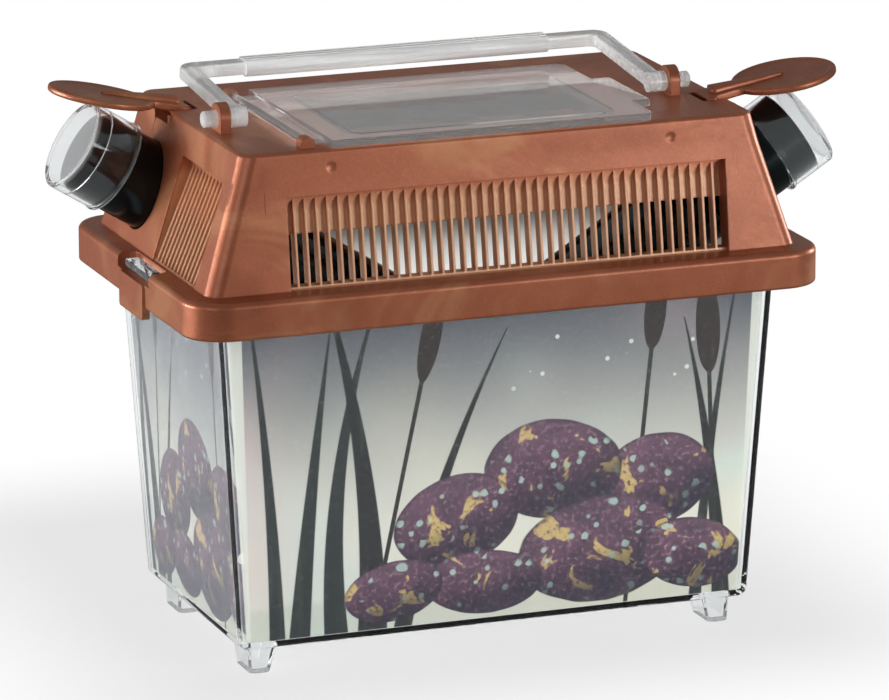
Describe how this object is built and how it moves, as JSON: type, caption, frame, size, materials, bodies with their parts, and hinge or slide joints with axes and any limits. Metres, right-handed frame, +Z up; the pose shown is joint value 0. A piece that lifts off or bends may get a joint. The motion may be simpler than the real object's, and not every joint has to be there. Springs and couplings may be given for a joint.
{
  "type": "cricket keeper box",
  "caption": "Small clear insect keeper box with a copper vented hood, a hinged feeding hatch, a bail handle and two black slide-in tubes with clear caps and shade flaps.",
  "frame": {"origin": "Bottom centre: on the table, under the middle of the tank.", "axes": "X runs along the box from the hatch hinge end (-X) to the hatch tab end (+X), Y runs from the front to the back, Z is up."},
  "size_m": [0.2123, 0.1106, 0.155],
  "materials": {
    "clear_styrene": "clear glossy polystyrene",
    "printed_card": "glossy printed card",
    "copper_plastic": "pearlescent copper moulded plastic",
    "black_plastic": "glossy black plastic"
  },
  "bodies": {
    "tank_body": {"tank": "clear_styrene", "card_sleeve": "printed_card"},
    "lid_body": {"lid_hood": "copper_plastic"},
    "hatch_body": {"feeding_hatch": "clear_styrene"},
    "handle_body": {"carry_handle": "clear_styrene"},
    "right_tube_body": {"right_tube": "black_plastic", "right_tube_cap": "clear_styrene"},
    "left_tube_body": {"left_tube": "black_plastic", "left_tube_cap": "clear_styrene"},
    "right_flap_body": {"right_flap": "copper_plastic"},
    "left_flap_body": {"left_flap": "copper_plastic"}
  },
  "joints": [
    {"name": "lid_lift", "type": "slide", "parent": "tank_body", "child": "lid_body", "axis": [0, 0, 1], "range_m": [0, 0.1]},
    {"name": "hatch_hinge", "type": "hinge", "parent": "lid_body", "child": "hatch_body", "pos_m": [-0.0539, -0.00895, 0.1464], "axis": [0, -1, 0], "range_deg": [0, 92]},
    {"name": "handle_hinge", "type": "hinge", "parent": "lid_body", "child": "handle_body", "pos_m": [-0.0037, -0.0131, 0.1484], "axis": [1, 0, 0], "range_deg": [-2, 165]},
    {"name": "right_tube_slide", "type": "slide", "parent": "lid_body", "child": "right_tube_body", "axis": [0.848, 0, 0.5299], "range_m": [-0.004, 0.1]},
    {"name": "left_tube_slide", "type": "slide", "parent": "lid_body", "child": "left_tube_body", "axis": [-0.848, 0, 0.5299], "range_m": [-0.004, 0.1]},
    {"name": "right_flap_hinge", "type": "hinge", "parent": "lid_body", "child": "right_flap_body", "pos_m": [0.0691, -0.0207, 0.1429], "axis": [0, -1, 0], "range_deg": [-2.5, 56]},
    {"name": "left_flap_hinge", "type": "hinge", "parent": "lid_body", "child": "left_flap_body", "pos_m": [-0.0691, 0.0207, 0.1429], "axis": [0, 1, 0], "range_deg": [-2.5, 56]}
  ],
  "couplings": [
    {"joint": "right_flap_hinge", "follows": "right_tube_slide", "rad_per_m": 9.6},
    {"joint": "left_flap_hinge", "follows": "left_tube_slide", "rad_per_m": 9.6}
  ]
}
